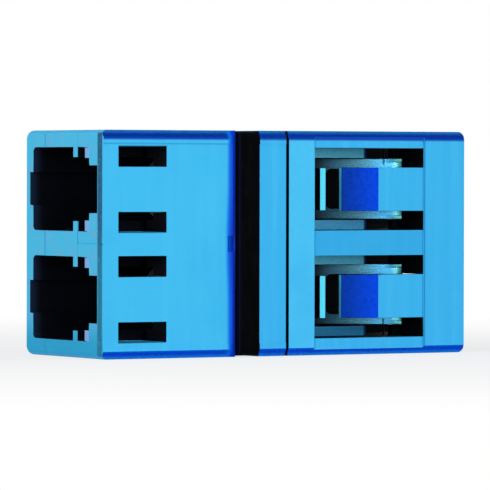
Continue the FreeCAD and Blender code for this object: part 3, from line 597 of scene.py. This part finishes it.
for half, end in (("front", -HALF_LENGTH), ("rear", HALF_LENGTH)):
    housing = lift_solid(f"{half}_housing", f"{half}_half")
    sharpen_back_edge(housing, end)
    round_port_corners(housing)
    soften_edges(housing, 0.03 * MM, 2, 0.12 * MM, smooth=20)
    if half == "rear":
        add_shade_slivers(housing)
    housing.data.materials.clear()
    for finish in housing_finishes:
        housing.data.materials.append(finish)
    for face in housing.data.polygons:
        face.material_index = finish_of(face, housing.data)
    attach(housing, "housing")

# ---------------------------------------------------------------------------------------------
# The panel ring, a band of smooth black rubber that is stretched into its groove.

RUBBER_BLACKS = (0.0006, 0.0008, 0.0012, 1), (0.0018, 0.0024, 0.0034, 1)
RING_BLUE_REFLECTION = (0.0022, 0.0050, 0.018, 1)


def black_rubber():
    material, tree, body = new_finish("black_rubber", specular=0.015)
    place, (x, _, _) = place_in_mm(tree)
    dust = noise(tree, stretched(tree, place, (3.0, 0.8, 0.8)), 1.0, 4.0)
    # painted reflection of the blue housing on the ring's edge by the front half
    colour = lay_over(tree, blend_colour(tree, ramp_up(tree, dust, 0.4, 0.75), *RUBBER_BLACKS),
                      (ramp_up(tree, x, -3.02, -3.20), RING_BLUE_REFLECTION))
    coat(body, colour, dust, 0.55, 0.75, noise(tree, place, 9.0, 3.0), 0.3, 8e-6)
    return material


ring = lift_solid("seal_ring", "panel_ring")
soften_edges(ring, 0.06 * MM, 3, 0.15 * MM)
ring.data.materials.clear()
ring.data.materials.append(black_rubber())
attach(ring, "housing")

# ---------------------------------------------------------------------------------------------
# The sleeve holders, moulded in dark grey plastic and clamped between the halves, and the split
# ceramic sleeves that float in their barrels.

HOLDER_GREYS = (0.045, 0.050, 0.062, 1), (0.075, 0.082, 0.098, 1)
CERAMIC_WHITES = (0.80, 0.78, 0.72, 1), (0.88, 0.87, 0.83, 1)


def grey_plastic():
    material, tree, body = new_finish("dark_grey_plastic", specular=0.2)
    place, _ = place_in_mm(tree)
    cloud = noise(tree, place, 0.9, 3.0)
    coat(body, blend_colour(tree, cloud, *HOLDER_GREYS), cloud, 0.42, 0.6,
         noise(tree, place, 12.0, 2.0), 0.2, 6e-6)
    return material


def ground_ceramic():
    material, tree, body = new_finish("ground_ceramic", specular=0.7)
    place, _ = place_in_mm(tree)
    grinding = noise(tree, stretched(tree, place, (14.0, 0.6, 0.6)), 1.0, 2.0)
    coat(body, blend_colour(tree, grinding, *CERAMIC_WHITES), grinding, 0.14, 0.24,
         grinding, 0.1, 3e-6)
    return material


grey, ceramic = grey_plastic(), ground_ceramic()
for node, name, finish, slot in (
        ("front_sleeve_holder", "front_holder", grey, "holder_plastic"),
        ("rear_sleeve_holder", "rear_holder", grey, "holder_plastic"),
        ("lower_sleeve", "lower_split_sleeve", ceramic, "sleeve_zirconia"),
        ("upper_sleeve", "upper_split_sleeve", ceramic, "sleeve_zirconia")):
    piece = lift_solid(node, name)
    soften_edges(piece, 0.03 * MM, 2, 0.12 * MM)
    piece.data.materials.clear()
    piece.data.materials.append(finish)
    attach(piece, "housing")

# ---------------------------------------------------------------------------------------------
# The shutters: stamped and bent steel leaves with stub pins riveted through their cheeks, and a
# spring of black music wire coiled on each outer pin. The leaves carry painted shade towards the
# tip and a painted blue reflection towards the hinge.

LEAF_TIP_SHADE = (0.004, 0.008, 0.012, 1)
# painted shade and reflection along the leaf: where each shade starts and is whole, along the
# adapter
LEAF_SHADE_TO_REFLECTION = ((5.3, 6.6, (0.020, 0.080, 0.130, 1)), (6.2, 8.0, (0.060, 0.22, 0.31, 1)),
                (7.6, 9.3, (0.076, 0.430, 0.760, 1)), (9.3, 9.65, (0.20, 0.85, 1.0, 1)))
SPRING_FOOT_REFLECTION = (0.16, 0.72, 1.0, 1)


def brushed(tree, body, place, colour, satin):
    """Fine brushing along X over a metal of one colour."""
    grain = noise(tree, stretched(tree, place, (0.6, 2.0, 22.0)), 1.0, 3.0)
    worn = make(tree, "HueSaturation", {"Color": colour, "Value": 1.25})
    coat(body, blend_colour(tree, grain, colour, worn), grain, satin, satin + 0.14,
         grain, 0.25, 3e-6)


def leaf_shade_steel():
    """Painted shade from near black at the tip, deep in the port, to a painted pale blue
    reflection at the hinge.
    """
    material, tree, body = new_finish("leaf_shade_steel", metallic=0.9)
    place, (x, _, _) = place_in_mm(tree)
    colour = lay_over(tree, LEAF_TIP_SHADE, *(
        (ramp_up(tree, x, low, high), shade) for low, high, shade in LEAF_SHADE_TO_REFLECTION))
    brushed(tree, body, place, colour, 0.20)
    return material


def black_steel(name, shade, satin):
    """Blackened wire and pins, with a painted pale blue reflection where the spring's foot lies
    on the leaf.
    """
    material, tree, body = new_finish(name, metallic=1.0)
    place, (x, _, z) = place_in_mm(tree)
    foot = both(tree, ramp_up(tree, off_port_axis(tree, z), 1.80, 1.74),
                ramp_up(tree, x, 9.3, 9.1))
    patchy = blend_colour(tree, noise(tree, place, 4.0, 3.0), (shade, shade, shade * 1.1, 1),
                          (shade * 1.6, shade * 1.6, shade * 1.7, 1))
    brushed(tree, body, place, lay_over(tree, patchy, (foot, SPRING_FOOT_REFLECTION)), satin)
    return material


leaf_steel = leaf_shade_steel()
pin_steel = black_steel("pin_steel", 0.035, 0.34)
wire_steel = black_steel("spring_wire", 0.006, 0.66)
for port in ("lower", "upper"):
    for part, name, finish, slot, edge, turn in (
            ("shutter", "leaf", leaf_steel, "shutter_steel", 0.02, 40),
            ("shutter_outer_pin", "outer_pin", pin_steel, "pin_steel", 0.02, 40),
            ("shutter_inner_pin", "inner_pin", pin_steel, "pin_steel", 0.02, 40),
            ("shutter_spring", "spring", wire_steel, "spring_wire", 0.005, 70)):
        piece = lift_solid(f"{port}_{part}", f"{port}_{name}")
        soften_edges(piece, edge * MM, 2, 0.08 * MM, turn)
        if name == "spring":
            bpy.ops.object.shade_smooth_by_angle(angle=math.radians(60))
        piece.data.materials.clear()
        piece.data.materials.append(finish)
        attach(piece, f"{port}_shutter_leaf")
